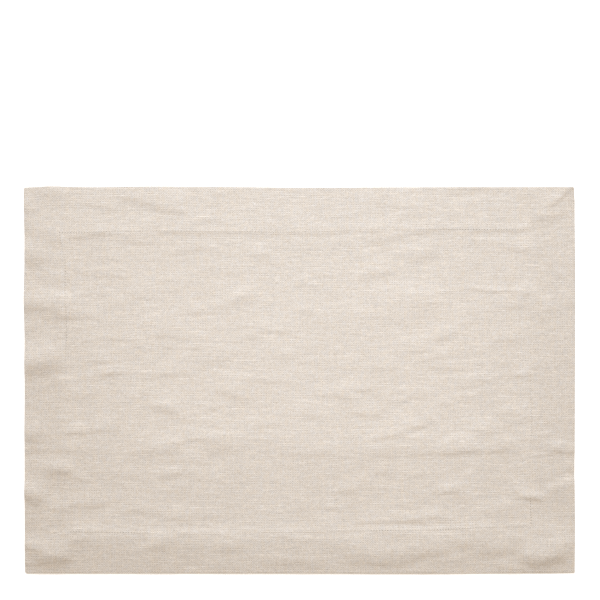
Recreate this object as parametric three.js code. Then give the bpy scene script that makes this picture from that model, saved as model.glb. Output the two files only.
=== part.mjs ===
// Fabric placemat: one cut of linen whose edges are turned under in a wide mitred hem,
// lying face up on a table. Millimetres, +Z up. X runs along the mat, Y runs across it
// towards its back edge, and the table is the plane z = 0.
import * as THREE from "three";

// ---- Driving sizes ----
const LENGTH = 500; // finished mat along X
const WIDTH = 351; // finished mat along Y
const CLOTH_THICKNESS = 1.0; // single cloth, with the loft of its weave
const HEM_THICKNESS = 1.6; // where the cloth is folded double
const HEM_STEP = 6; // width over which the face steps down from the hem to the panel
const HEM_WIDTH = { left: 37, right: 42, front: 36, back: 41 };
const CORNER_RADIUS = 2.5; // the folded corners are a little blunt
const EDGE_ROLL = 0.4; // how far the folded edge's middle stands out past its faces
const EDGE_FLATNESS = 0.6; // share of the hem's thickness left at the very edge
const SLACK = 0.15; // folds lower than this settle flat on the table

// ---- Spacing of the surface's lines ----
const PANEL_CELL = { x: 17, y: 9 };
const HEM_CELL = { x: 10, y: 10 };

// Folds that the cloth keeps, each a soft ridge along a line from one end to the other.
// back is its spread to the left of that direction, front its spread to the right, and
// fade is how it dies away past its ends.
const FOLD_COLUMNS = ["x1", "y1", "x2", "y2", "rise", "back", "front", "fade"];
const FOLDS = [
  // back press fold, in broken lengths
  [-92, 64, -58, 71, 0.5, 9, 5, 8],
  [-58, 71, -36, 84, 0.5, 7, 5, 6],
  [12, 64, 62, 64, 0.5, 6, 12, 8],
  [72, 76, 122, 77, 0.9, 8, 16, 9],
  [125, 84, 158, 83, 0.5, 6, 4, 5],
  [178, 80, 204, 77, 0.5, 5, 4, 5],
  [206, 79, 223, 69, 0.7, 7, 9, 6],
  // front press fold, with the panel sagging away in front of it
  [-205, -59, -110, -62, 0.4, 10, 8, 9],
  [-83, -56, -52, -58, 0.6, 10, 6, 8],
  [0, -64, 60, -64, 0.4, 7, 6, 6],
  [85, -60, 175, -60, 0.6, 10, 6, 9],
  [230, -61, 247, -62, 0.8, 4, 4, 5],
  [-160, -66, 170, -66, 0.9, 22, 45, 30],
  // crosswise press fold
  [0, -140, 0, 150, 0.25, 8, 6, 10],
  // ripples of the left hem
  [-250, 160, -243, 158, 0.9, 6, 4, 5],
  [-250, 144, -243, 143, 0.9, 6, 4, 5],
  [-250, 115, -241, 113, 1.2, 9, 5, 6],
  [-250, 73, -214, 64, 1.8, 10, 6, 7],
  [-250, 15, -228, 19, 2.4, 12, 9, 8],
  [-250, -46, -239, -47, 1.5, 10, 4, 5],
  [-250, -100, -241, -103, 2.8, 9, 7, 5],
  [-236, -109, -222, -110, 1.0, 4, 4, 5],
  [-238, -82, -213, -79, 0.9, 7, 7, 6],
  [-250, -120, -225, -121, 1.2, 8, 12, 8],
  [-250, -151, -243, -151, 1.2, 6, 4, 5],
  [-236, -156, -216, -157, 1.9, 8, 6, 5],
  // the front hem droops to its edge, with puckers where its sewing is tight
  [-212, -148, 250, -148, 0.7, 8, 26, 10],
  [211, -157, 234, -156, 1.5, 9, 7, 6],
  [48, -156, 92, -157, 1.3, 8, 8, 6],
  [108, -154, 128, -155, 0.7, 6, 5, 5],
  [-133, -147, -116, -149, 0.9, 7, 9, 5],
  [-4, -146, 6, -146, 1.0, 7, 8, 5],
  [238, -150, 250, -150, 0.7, 6, 7, 5],
  // right hem, and the lift of its mitred corner
  [205, -103, 214, -103, 0.9, 6, 4, 4],
  [232, -98, 250, -100, 1.0, 6, 10, 6],
  [218, 152, 250, 153, 1.0, 12, 5, 6],
  [226, 153, 249, 175, 0.6, 3, 6, 4],
  // waves of the back hem
  [-193, 164, -173, 159, 0.8, 8, 4, 5],
  [-150, 165, -112, 157, 1.0, 10, 5, 6],
  [72, 168, 112, 156, 0.6, 9, 6, 6],
  [-240, 176, -216, 167, 0.9, 6, 8, 6],
  // short folds of the panel
  [-146, 40, -130, 46, 0.35, 6, 4, 5],
  [-130, 46, -112, 42, 0.35, 6, 4, 5],
  [-143, -19, -112, -30, 0.5, 6, 5, 6],
  [-67, -8, -50, -17, 0.4, 5, 3, 4],
  [-76, -1, -50, -1, 0.4, 5, 10, 5],
  [159, -53, 174, -25, 0.6, 9, 4, 6],
  [130, -99, 149, -97, 0.5, 4, 4, 4],
  [150, -1, 175, 2, 0.35, 5, 3, 5],
].map((row) => Object.fromEntries(FOLD_COLUMNS.map((name, i) => [name, row[i]])));

// How far each edge strays out past its straight line, at places along that edge.
const STRAYS = {
  back: [[-248, -0.4], [-226, 0.7], [-188, -0.1], [-133, 0.6], [8, -0.4], [180, 0.1]],
  front: [[0, 0], [100, 0.3], [225, -0.3], [245, -0.6]],
  left: [[-160, -0.6], [-40, -0.2], [25, -0.3], [80, 0.5], [118, -0.2], [160, 0.5]],
  right: [[-155, -0.2], [-128, 0.1], [-85, -0.5], [-30, 0], [95, 0.3], [161, -0.3], [172, -0.9]],
};

const smooth = (t) => THREE.MathUtils.smoothstep(t, 0, 1);

// Lines from one place up to, but not on, another, no further apart than the cell.
function evenLines(from, to, cell) {
  const count = Math.ceil((to - from) / cell);
  return Array.from({ length: count }, (_, i) => from + ((to - from) * i) / count);
}

// The surface's lines across one axis: close at the blunt edges and at the steps of the
// two hems, wider over the hems and the panel.
function surfaceLines(size, lowHem, highHem, hemCell, panelCell) {
  const half = size / 2;
  const lowInner = lowHem - half;
  const highInner = half - highHem;
  return [
    ...evenLines(-half, CORNER_RADIUS - half, CORNER_RADIUS / 2),
    ...evenLines(CORNER_RADIUS - half, lowInner - HEM_STEP / 2, hemCell),
    ...evenLines(lowInner - HEM_STEP / 2, lowInner + HEM_STEP / 2, HEM_STEP / 2),
    ...evenLines(lowInner + HEM_STEP / 2, highInner - HEM_STEP / 2, panelCell),
    ...evenLines(highInner - HEM_STEP / 2, highInner + HEM_STEP / 2, HEM_STEP / 2),
    ...evenLines(highInner + HEM_STEP / 2, half - CORNER_RADIUS, hemCell),
    ...evenLines(half - CORNER_RADIUS, half, CORNER_RADIUS / 2),
    half,
  ];
}

// 1 on the hem, 0 on the panel, easing over the step between them.
function hemShare(x, y) {
  const inward = Math.min(
    x + LENGTH / 2 - HEM_WIDTH.left,
    LENGTH / 2 - HEM_WIDTH.right - x,
    y + WIDTH / 2 - HEM_WIDTH.front,
    WIDTH / 2 - HEM_WIDTH.back - y,
  );
  return 1 - smooth(inward / HEM_STEP + 0.5);
}

// The height that the folds lift the cloth off the table.
function lift(x, y) {
  let height = 0;
  for (const fold of FOLDS) {
    const length = Math.hypot(fold.x2 - fold.x1, fold.y2 - fold.y1);
    const ux = (fold.x2 - fold.x1) / length;
    const uy = (fold.y2 - fold.y1) / length;
    const along = (x - fold.x1) * ux + (y - fold.y1) * uy;
    const across = (y - fold.y1) * ux - (x - fold.x1) * uy;
    const past = Math.max(-along, along - length, 0);
    const spread = across > 0 ? fold.back : fold.front;
    height += fold.rise * Math.exp(-((across / spread) ** 2 + (past / fold.fade) ** 2) / 2);
  }
  return Math.max(0, height - SLACK);
}

// The stray of one edge at a place along it, eased between the table's places.
function stray(edge, at) {
  const places = STRAYS[edge];
  const next = places.findIndex(([place]) => place > at);
  if (next === 0) return places[0][1];
  if (next < 0) return places.at(-1)[1];
  const [from, low] = places[next - 1];
  const [to, high] = places[next];
  return THREE.MathUtils.lerp(low, high, smooth((at - from) / (to - from)));
}

// Moves a point of the square-cornered mat to its place inside the blunt corners.
function bluntCorner(x, y) {
  const a = Math.max(0, 1 - (LENGTH / 2 - Math.abs(x)) / CORNER_RADIUS);
  const b = Math.max(0, 1 - (WIDTH / 2 - Math.abs(y)) / CORNER_RADIUS);
  const pull = (p, q) => CORNER_RADIUS * p * (1 - Math.sqrt(1 - (q * q) / 2));
  return [x - Math.sign(x) * pull(a, b), y - Math.sign(y) * pull(b, a)];
}

// Carries a point of the true rectangle out to the edges as they really run.
function strayed(x, y) {
  const acrossX = x / LENGTH + 0.5;
  const acrossY = y / WIDTH + 0.5;
  return [
    x + THREE.MathUtils.lerp(-stray("left", y), stray("right", y), acrossX),
    y + THREE.MathUtils.lerp(-stray("front", x), stray("back", x), acrossY),
  ];
}

// ---- The cloth: panel and turned-under hem in one piece ----
function clothGeometry() {
  const xs = surfaceLines(LENGTH, HEM_WIDTH.left, HEM_WIDTH.right, HEM_CELL.x, PANEL_CELL.x);
  const ys = surfaceLines(WIDTH, HEM_WIDTH.front, HEM_WIDTH.back, HEM_CELL.y, PANEL_CELL.y);
  const columns = xs.length - 1;
  const rows = ys.length - 1;
  const geometry = new THREE.BoxGeometry(1, 1, 2, columns, rows, 2);
  const points = geometry.getAttribute("position");
  for (let n = 0; n < points.count; n++) {
    const column = Math.round((points.getX(n) + 0.5) * columns);
    const row = Math.round((points.getY(n) + 0.5) * rows);
    const layer = points.getZ(n); // -1 underside, 0 middle of the folded edge, 1 face
    const endX = column === 0 ? -1 : column === columns ? 1 : 0;
    const endY = row === 0 ? -1 : row === rows ? 1 : 0;
    const atEdge = endX !== 0 || endY !== 0;
    const [cornerX, cornerY] = bluntCorner(xs[column], ys[row]);
    const [x, y] = strayed(cornerX, cornerY);
    const roll = EDGE_ROLL * Math.abs(layer);
    const share = hemShare(xs[column], ys[row]);
    const thickness = THREE.MathUtils.lerp(CLOTH_THICKNESS, HEM_THICKNESS, share);
    const reach = atEdge ? layer * EDGE_FLATNESS : layer;
    const z = lift(x, y) + (thickness * (1 + reach)) / 2;
    points.setXYZ(n, x - endX * roll, y - endY * roll, z);
  }
  geometry.computeBoundingBox();
  const { min, max } = geometry.boundingBox;
  geometry.translate(-(min.x + max.x) / 2, -(min.y + max.y) / 2, -min.z);
  geometry.computeVertexNormals();
  return geometry;
}

const linen = new THREE.MeshStandardMaterial({
  color: "#dcd1c5",
  roughness: 0.95,
  metalness: 0,
});

const cloth = new THREE.Mesh(clothGeometry(), linen);
cloth.name = "placemat_cloth";

const placemat = new THREE.Group();
placemat.add(cloth);

export default placemat;
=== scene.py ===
# %% [markdown]
# # A linen placemat
# The object is one cut of plain-weave linen, 50 by 35 cm when finished. Its four edges are
# turned under in a wide hem, mitred at the corners and held by one line of stitches, so from
# above it shows as a plain field with a quiet frame round it. It has been pressed, folded
# away and laid out again, which left two long press folds, a rippled hem and fine creases.
# The lesson first says where the stitches and creases lie. Then it builds the cloth with its
# hem, sews it, and gives it its finish.

# %% Load the solid that the cloth follows
import math
import random

import bmesh
import bpy
from mathutils import Matrix, Vector, noise
from mathutils.bvhtree import BVHTree


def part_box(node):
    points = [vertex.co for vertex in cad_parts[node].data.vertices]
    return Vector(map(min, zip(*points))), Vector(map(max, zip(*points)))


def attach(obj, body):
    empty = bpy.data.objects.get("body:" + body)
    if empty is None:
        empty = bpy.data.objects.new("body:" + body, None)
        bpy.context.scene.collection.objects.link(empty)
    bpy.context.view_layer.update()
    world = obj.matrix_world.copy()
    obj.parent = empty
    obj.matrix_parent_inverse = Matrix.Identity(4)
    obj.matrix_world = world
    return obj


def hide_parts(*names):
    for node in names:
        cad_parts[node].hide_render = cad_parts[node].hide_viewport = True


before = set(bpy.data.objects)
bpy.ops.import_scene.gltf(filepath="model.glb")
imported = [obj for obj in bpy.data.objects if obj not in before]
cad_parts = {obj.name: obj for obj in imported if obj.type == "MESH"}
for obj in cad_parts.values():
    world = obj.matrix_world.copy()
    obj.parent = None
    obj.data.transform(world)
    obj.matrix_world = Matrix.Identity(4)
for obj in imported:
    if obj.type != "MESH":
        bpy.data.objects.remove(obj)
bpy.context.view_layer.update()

BODY = "root"
CLOTH_NODE = "placemat_cloth"
solid_low, solid_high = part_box(CLOTH_NODE)
print("solid, mm:", [round(1000 * side, 1) for side in solid_high - solid_low])

# %% [markdown]
# ## Camera
# The mat is looked at from straight above, so that its outline stays a true rectangle. A
# long lens keeps the raised hem from leaning outwards. An orthographic camera would do the
# same, but a long lens also works when the view is moved round the mat.

# %% Set the camera above the mat
MM = 0.001
SENSOR = 36 * MM
LENS = 100 * MM
FRAME_WIDTH = 545.06 * MM  # how much of the table fits across the picture
CAMERA_AIM = Vector((0.45 * MM, 72.6 * MM, 0))

camera_data = bpy.data.cameras.new("camera")
camera_data.lens = LENS / MM
camera_data.sensor_width = SENSOR / MM
camera = bpy.data.objects.new("camera", camera_data)
camera.location = CAMERA_AIM + Vector((0, 0, FRAME_WIDTH * LENS / SENSOR))
bpy.context.collection.objects.link(camera)
bpy.context.scene.camera = camera
print("camera height, mm:", round(camera.location.z / MM))

# %% [markdown]
# ## Sizes of the cloth
# Linen of this weight is under half a millimetre thick. The hem is 4 cm wide, and its raw
# edge is turned in again by 9 mm, so there are three layers under the stitches, two over the
# rest of the hem and one on the panel. The cut, the folds of the hem and the height of the
# face are worked out from these sizes.

# %% Name the driving sizes
LENGTH = 500 * MM
WIDTH = 351 * MM
HEM = 40 * MM  # width of the hem before sewing made it uneven
TURN_IN = 9 * MM
CLOTH = 0.34 * MM  # thickness of the woven cloth
LAYER = 0.38 * MM  # distance from one pressed layer of cloth to the next
FOLD_RADIUS = (LAYER + CLOTH) / 2  # outside radius of a pressed fold
HALF = {"x": LENGTH / 2, "y": WIDTH / 2}

# %% [markdown]
# ## Where the sewing ran
# No hem is sewn quite straight. Each side of the stitch line is kept as a few distances from
# its edge, with a smooth step between two of them, since cloth has no sharp turns there. A
# curve object would also do, but distances are easier to measure and to change.

# %% Read a short table at any place
def eased(t):
    """A smooth step from 0 to 1."""
    t = min(max(t, 0), 1)
    return t * t * (3 - 2 * t)


def from_text(text):
    """Reads rows of sizes in mm, with commas between the rows, and gives them in metres."""
    return [tuple(float(value) * MM for value in row.split()) for row in text.split(",")]


def at_place(places, where):
    """The value of a table of (place, value) at any place, eased between its rows."""
    if where <= places[0][0]:
        return places[0][1]
    for (low, low_value), (high, high_value) in zip(places, places[1:]):
        if where <= high:
            return low_value + (high_value - low_value) * eased((where - low) / (high - low))
    return places[-1][1]


# %% Lay out the stitch line, in mm
SEAM = {  # place along the edge, distance of the stitches in from that edge
    "left": from_text("-138 42, -100 42.8, -40 40.2, 5 36.6, 45 38.3, 100 37.4, 134 32.3"),
    "right": from_text("-132 40, -75 41.7, -45 39.2, 0 40.2, 90 43, 136 44.2"),
    "front": from_text("-208 38, -95 36, -10 37.7, 100 39.7, 210 43"),
    "back": from_text("-218 42, -160 40.7, 0 40.5, 80 38.1, 206 39.2"),
}
SIGN = {"left": -1, "right": 1, "front": -1, "back": 1}  # where each side lies on its axis
SEAM_TO_FOLD = 1.5 * MM  # the stitches run this far outside the hem's inner fold
HEM_FOLD = HEM + SEAM_TO_FOLD
for side, places in SEAM.items():
    insets = [inset / MM for _, inset in places]
    print(side, "hem, mm:", round(min(insets), 1), "to", round(max(insets), 1))


def side_places(x, y):
    """For each side: the distance in from it and the place along it."""
    return {
        "left": (HALF["x"] + x, y),
        "right": (HALF["x"] - x, y),
        "front": (HALF["y"] + y, x),
        "back": (HALF["y"] - y, x),
    }


def inside_fold(x, y):
    """Distance from the hem's inner fold, above 0 on the panel and below 0 on the hem."""
    return min(
        inset - at_place(SEAM[side], along) - SEAM_TO_FOLD
        for side, (inset, along) in side_places(x, y).items()
    )


# %% [markdown]
# ## Creases
# A cloth that is folded away keeps its folds as soft ridges. Each is a straight line with a
# height, a spread on either side of it and a length over which it dies away, so that one
# formula serves for a press fold, a ripple of the hem and a short crumple. Sculpting would
# give the same bumps, but rows like these can be read, moved and used again.

# %% Place the soft folds, in mm
# x1 y1 x2 y2 rise back front fade: back is the spread to the left of the direction from end 1
# to end 2, front the spread to its right.
PRESS_FOLDS = from_text("""
    -92 64 -58 70 .2 9 7 8, -60 71 -40 82 .25 7 7 6, 12 60 58 61 .4 6 12 8,
    72 76 122 77 .7 8 16 9, 133 81 150 84 .18 1.6 1.5 5, 150 84 164 83 .25 1.5 1.5 4,
    164 83 176 81 .35 1.6 1.4 4, 176 81 194 82 .42 1.8 1.2 4, 193 80 205 79 .38 1.8 1.2 4,
    206 79 223 69 .4 7 9 6, -205 -59 -110 -62 .3 10 8 9, -83 -56 -52 -58 .4 10 6 8,
    -22 -56 60 -62 .3 8 7 8, 85 -60 175 -60 .4 10 6 9, 230 -61 247 -62 .5 4 5 5,
    -160 -66 170 -66 .9 34 45 30, 0 -140 0 150 .25 8 6 10
""")
HEM_RIPPLES = from_text("""
    -250 160 -243 158 .7 6 5 5, -250 115 -241 113 1 9 6 6, -250 73 -214 64 1.5 9 8 7,
    -250 15 -228 19 2.6 11 8 8, -250 -46 -239 -47 1.2 10 5 5, -250 -100 -241 -103 2.6 8 7 5,
    -238 -82 -213 -79 .9 7 7 6, -250 -120 -225 -121 1.2 8 12 8, -250 -151 -243 -151 .9 6 5 5,
    -236 -156 -216 -157 1.4 8 7 5, -235 -150 240 -150 1.15 14 14 10, 211 -157 236 -156 1.3 9 8 6,
    48 -156 92 -157 .9 8 8 6, 108 -154 128 -155 .4 6 5 5, -30 -163 14 -163 .5 6 5 6,
    -140 -167 -118 -168 .5 6 5 6, -75 -167 -50 -167 .4 6 5 6, 232 -98 250 -100 .7 6 10 6,
    205 173 250 176 .9 5 13 6, -193 163 -173 158 .6 7 3 5, -158 167 -108 155 1 10 4 5,
    -100 141 -76 150 .3 5 4 5, 72 168 112 156 .6 9 6 6, 138 178 190 178 .5 5 5 5,
    -240 176 -216 167 .9 6 8 6, -228 147 -200 147 .4 6 8 6
""")
FOLDS = PRESS_FOLDS + HEM_RIPPLES
print("folds:", len(FOLDS))

# %% Place the sharp creases, in mm
# width of the steep side: rows of x y along across rise. The line starts at x y, runs down the
# middle of the steep side and ends that far along and across. The other side falls gently.
FACING_FRONT = {
    1.2: "150 134 45 0 .1, 197 134 9 1 .2, 229 158 20 17 .8",
    1.3: "-115 132 37 -1 .25, 198 3 10 1 .52",
    1.4: "52 129 14 4 .22, 92 131 16 2 .25, 108 133 13 3 .22, 106 -128 9 -3 .52",
    1.5: """
        75 130 17 1 .2, -140 20 12 -12 .2, -111 115 16 1 .2, -31 -151 7 0 .25, -209 -49 10 0 .7,
        161 -51 17 3 .55, 205 -55 7 -1 .35, 103 -89 7 2 .33, 18 -130 9 -3 .25, 27 -133 9 3 .2,
        20 -150 30 0 .2, -48 0 18 -1 .25, -204 -14 18 1 .4, 140 51 26 0 .2, 176 36 20 -1 .3
    """,
    1.6: """
        -185 132 18 0 .25, -210 66 9 -4 .4, -175 5 10 0 .55, 228 63 4 0 .3, -112 -74 16 0 .29,
        -96 -74 8 -3 .33, 140 -67 15 2 .45, 155 -65 24 0 .39, 204 -108 12 -1 .9, 95 -128 25 3 .45,
        120 -125 16 -2 .39, 184 -170 17 -3 .35, -96 119 16 -1 .25, -42 113 10 0 .35,
        -48 48 12 -1 .25, -24 21 19 1 .28, -30 -3 18 1 .3, -82 -27 10 1 .4, -42 -55 16 0 .3,
        30 -14 20 -4 .35, 95 -12 17 -2 .25, 190 118 13 0 .35, 126 36 10 1 .3
    """,
    1.8: """
        -222 71 19 -1 .3, -194 35 26 2 .3, -55 75 11 1 .3, -188 16 12 0 .6, -119 29 27 0 .22,
        -92 29 10 -5 .25, -173 94 10 -1 .4, 0 63 5 -1 .45, 222 55 4 6 .3, 185 34 13 2 .29,
        121 34 9 3 .29, 104 25 11 1 .5, 115 18 10 2 .25, 127 21 12 4 .35, 0 30 12 0 .26,
        60 9 25 1 .26, -187 -84 9 -1 .33, -161 -88 11 -2 .39, -121 -89 8 3 .39,
        -100 -86 12 -4 .33, -222 -118 12 -1 .5, -205 -114 19 -1 .39, -186 -115 14 4 .39,
        -165 -122 16 3 .29, -149 -119 17 -3 .29, -108 -126 33 2 .26, -137 -24 15 -1 .5,
        -62 -15 10 -4 .45, 52 -31 14 -2 .8, 20 -14 30 -3 .23, 30 -11 28 2 .2, 100 -68 40 1 .33,
        192 -103 10 0 .33, 75 -84 6 -1 .33, 30 -84 13 1 .2, 18 -117 18 0 .39, 38 -102 13 1 .26,
        94 -114 10 -2 .26, 57 -129 38 0 .52, 175 -125 25 0 .39, 150 -151 16 1 .3,
        204 -164 12 -8 .4, -212 109 18 -1 .25, -181 107 12 1 .3, -210 99 16 -2 .25,
        -38 108 18 -3 .25, -72 97 14 -1 .3, -150 78 8 -4 .4, -140 48 30 -1 .25, -103 37 19 0 .28,
        -30 43 18 1 .3, -120 4 17 0 .25, -79 16 9 2 .35, -90 -42 18 -1 .25, -40 -43 20 2 .4,
        -202 -48 18 0 .2, 42 -25 10 2 .35, 84 -22 26 8 .25, 72 -53 18 2 .3, 104 109 14 7 .3,
        112 106 12 6 .2, 150 108 16 6 .2, 55 122 27 5 .25, 15 96 15 -2 .25, 105 67 20 2 .2,
        172 63 28 3 .18
    """,
    2: """
        -250 156 4 -4 .5, -225 120 13 -1 .3, -162 126 14 -2 .25, -77 168 15 -1 .3,
        -98 139 16 6 .2, -196 45 6 -1 .26, -152 34 11 -8 .3, -140 38 14 2 .2, -128 39 17 -1 .35,
        -102 60 18 0 .25, -77 66 19 4 .33, -58 71 9 4 .12, -187 73 11 3 .2, -186 1 10 3 .45,
        -51 118 15 -5 .2, -50 38 8 0 .33, -30 44 20 2 .16, -187 95 12 -1 .25, 245 69 5 -1 .5,
        120 43 6 4 .29, 103 109 13 4 .29, 2 86 10 -2 .29, 0 118 18 3 .2, 150 58 50 8 .16,
        195 119 8 -3 .33, -235 -65 30 -1 .35, -222 -84 10 0 .5, -202 -90 7 -2 .39,
        -122 -126 14 0 .33, -72 -154 12 0 .45, -20 -143 8 0 .3, -96 -153 11 1 .2,
        -250 -166 3 -2 .8, -102 -54 20 -1 .45, -118 -62 6 4 .26, -126 -28 12 -2 .5,
        -69 -11 9 -4 .6, -65 -84 17 -4 .26, 149 -8 23 5 .55, 70 -54 20 4 .33, 90 -50 15 6 .45,
        105 -44 13 4 .39, 160 -46 11 2 .6, 0 -68 40 -1 .29, 70 -69 12 0 .39, 183 -64 15 -2 .33,
        127 -104 11 2 .39, 138 -102 13 -8 .45, 0 -117 12 1 .26, 105 -103 8 -2 .33,
        165 -121 25 3 .33, -229 134 13 -10 .5, -158 126 25 -4 .35, -243 143 6 -12 .3,
        -210 56 26 0 .3, -140 1 20 3 .25, -148 -15 12 1 .3, 44 -8 18 -2 .35, 58 95 22 2 .25,
        124 11 22 -2 .3
    """,
    2.2: "-250 -55 11 -1 .6, 234 -65 14 -2 .6, 165 -158 25 2 .55",
    2.5: """
        -228 125 23 2 .3, -205 127 29 2 .25, -120 163 13 -2 .3, 140 167 26 7 .35, -250 64 22 3 .5,
        213 12 9 -2 .3, 60 93 20 2 .26, -250 -65 8 1 .4, -140 -143 11 -9 .4, -208 -145 13 -4 .45,
        -250 -152 10 -3 .6, -150 -68 32 2 .33, -184 -46 11 0 .6, -118 -30 10 -6 .6,
        3 -33 12 1 .33, 225 -91 21 9 .35, 214 -138 12 -2 .35, 4 -168 13 -3 .4, 185 -32 6 -10 .5,
        200 -30 6 -6 .4
    """,
    3: """
        -250 142 10 -12 .5, -250 113 7 -7 .6, 214 144 22 5 .8, -226 58 12 -2 .4, -250 45 10 -3 .4,
        -250 -106 12 -7 .9, -130 -152 10 -3 .4, -80 -66 22 5 .45, 50 -166 26 -2 .5,
        76 -168 26 4 .45, 108 -160 23 3 .5
    """,
    3.5: "-237 -166 25 2 .7, 214 -168 22 5 .9",
}
FACING_BACK = {
    1.2: "130 4 20 0 .22, 150 5 13 1 .12, 163 6 33 -1 .12",
    1.5: "128 -17 22 6 .29, 150 -11 23 6 .33",
    1.6: "160 129 33 -1 .25, 207 -102 13 -1 .3",
    1.8: """
        -221 96 8 -1 .35, -166 76 8 -1 .29, 30 128 13 1 .25, -123 -84 15 7 .33, -121 -96 17 6 .33,
        -206 -134 11 2 .25, -88 -50 14 1 .33, -66 -48 12 0 .33, 129 -97 18 4 .45,
        182 -165 14 -4 .35
    """,
    2: """
        -222 116 4 -1 .3, -222 50 16 -1 .3, -222 2 10 1 .4, 138 162 28 6 .3, 206 87 10 -7 .35,
        210 72 12 0 .3, 148 107 13 4 .29, -250 -71 8 -1 .35, -180 -140 22 0 .3, -216 -146 20 6 .3,
        -145 -151 9 1 .35, -22 -158 14 -2 .3, 93 -50 17 1 .2, 110 -49 11 3 .2, 128 -57 13 6 .45,
        141 -51 20 1 .39, 66 -59 17 3 .39, 229 -57 12 1 .35, 30 -98 15 4 .26, 70 -135 23 0 .35,
        125 -133 24 -10 .3, 182 -108 14 -3 .39, 110 -166 36 7 .35
    """,
    2.2: """
        96 121 12 0 .45, 127 48 14 1 .45, -223 -75 14 -2 .5, 178 -50 18 -5 .39, 228 -97 21 9 .45,
        193 -141 8 0 .4
    """,
    2.5: """
        -222 79 12 -2 .5, -200 65 16 -4 .29, -126 61 14 1 .2, -64 29 13 2 .26, -70 6 18 -3 .45,
        92 37 22 3 .26, -228 -106 6 0 .5, -134 -57 22 3 .39, 40 -142 18 1 .35, 150 -136 16 4 .35,
        204 -156 22 -1 .6, 235 -143 14 -2 .35
    """,
    3: """
        -250 22 16 0 .3, -122 95 10 -3 .39, -10 150 12 -1 .25, 55 143 25 -1 .2, 207 128 8 -4 .3,
        100 80 21 0 .33, 62 108 16 2 .26, -67 -138 13 -4 .4, -229 -155 12 -3 .6,
        107 -136 14 -5 .55
    """,
    3.5: "-134 -139 22 -2 .6, -6 -141 15 0 .6",
}
GENTLE_SIDE = 3  # the gentle side is this many times as wide as the steep side
CREASE_FADE = 3.5 * MM


def ridges(table, facing):
    """Turns a table of creases that face front (-1) or back (1) into rows like the folds'."""
    for width_mm, text in table.items():
        width = width_mm * MM
        far = GENTLE_SIDE * width
        back, front = (far, width) if facing < 0 else (width, far)
        for x, y, along, across, rise in from_text(text):
            y -= facing * width
            yield x, y, x + along, y + across, rise, back, front, CREASE_FADE


CREASES = [*ridges(FACING_FRONT, -1), *ridges(FACING_BACK, 1)]
print("sharp creases:", len(CREASES))

# %% Add the folds up at any point
SLACK = 0.15 * MM  # folds lower than this settle flat on the table
REACH = 3.3  # past this many spreads a fold has died away
BAND = 15 * MM


def in_bands(rows):
    """Sorts folds by the bands of the mat that they reach, to find those near a point."""
    bands = {}
    for row in rows:
        _, y1, _, y2, _, back, front, fade = row
        reach = REACH * max(back, front, fade)
        first = math.floor((min(y1, y2) - reach) / BAND)
        last = math.floor((max(y1, y2) + reach) / BAND)
        for band in range(first, last + 1):
            bands.setdefault(band, []).append(row)
    return bands


def summed(bands, x, y):
    """How high a set of folds lifts the cloth at one point."""
    height = 0
    for x1, y1, x2, y2, rise, back, front, fade in bands.get(math.floor(y / BAND), ()):
        reach = REACH * max(back, front, fade)
        if not (min(x1, x2) - reach < x < max(x1, x2) + reach):
            continue
        length = math.hypot(x2 - x1, y2 - y1)
        along = ((x - x1) * (x2 - x1) + (y - y1) * (y2 - y1)) / length
        across = ((y - y1) * (x2 - x1) - (x - x1) * (y2 - y1)) / length
        past = max(-along, along - length, 0)
        spread = back if across > 0 else front
        height += rise * math.exp(-((across / spread) ** 2 + (past / fade) ** 2) / 2)
    return height


fold_bands = in_bands(FOLDS)
crease_bands = in_bands(CREASES)


def fold_height(x, y):
    """How high the soft folds and the sharp creases lift the cloth together."""
    return max(0, summed(fold_bands, x, y) - SLACK) + summed(crease_bands, x, y)


print("left edge at its middle ripple, mm:", round(fold_height(-HALF["x"], 15 * MM) / MM, 1))

# %% [markdown]
# ## Crinkle
# Washed linen never presses quite flat. Between the folds it keeps a fine crinkle that runs
# mostly along the mat, because the yarns that run that way are the thicker ones. Stretched
# noise gives that grain: each row below is one size of crinkle, longer than it is wide. The
# noise is bent a little by a slower noise, so that its waves don't lie in straight rows.
# Where noise crosses zero, a second kind of row raises a sharp little crease.

# %% Make the crinkle
# length, width and rise of each size of crinkle in mm, and its seed. A seed is the place in
# depth at which a noise is read, so that no noise repeats another.
WAVES = [(60, 15, 0.13, 1.7), (26, 7.5, 0.055, 8.3)]
SHARP_WAVES = [(34, 8.0, 0.09, 15.9)]
SHARPNESS = 2.5  # the higher, the narrower a sharp crease
EVERYWHERE = 0.8  # share of the crinkle that is the same all over
PATCHY = 0.7  # share that comes and goes in patches
CRINKLE_BEND = 9 * MM
BEND_SIZE = 50 * MM
BEND_SEED = 5
PATCH_SIZE = 70 * MM
PATCH_SEED = 11
BOW = 1.0  # the crinkle bows towards the front, and slopes this much more for each metre
BOW_MIDDLE = -20 * MM


def crinkle_height(x, y):
    """The fine, always upward, unevenness of the cloth between its folds."""
    slow = Vector((x / BEND_SIZE, y / BEND_SIZE, 0))
    bent_x = x + CRINKLE_BEND * noise.noise(slow)
    bowed = y - BOW * (x - BOW_MIDDLE) ** 2 / 2
    bent_y = bowed + CRINKLE_BEND * noise.noise(slow + Vector((0, 0, BEND_SEED)))

    def wave(long, wide, seed):
        return noise.noise(Vector((bent_x / (long * MM), bent_y / (wide * MM), seed)))

    height = 0
    for long, wide, rise, seed in WAVES:
        height += rise * MM * (1 + wave(long, wide, seed)) / 2
    for long, wide, rise, seed in SHARP_WAVES:
        height += rise * MM * (1 - min(1, SHARPNESS * abs(wave(long, wide, seed)))) ** 2
    patch = noise.noise(Vector((x / PATCH_SIZE, y / PATCH_SIZE, PATCH_SEED)))
    return (EVERYWHERE + PATCHY * patch) * height


print("crinkle in the middle, mm:", round(crinkle_height(0, 0) / MM, 2))

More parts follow.
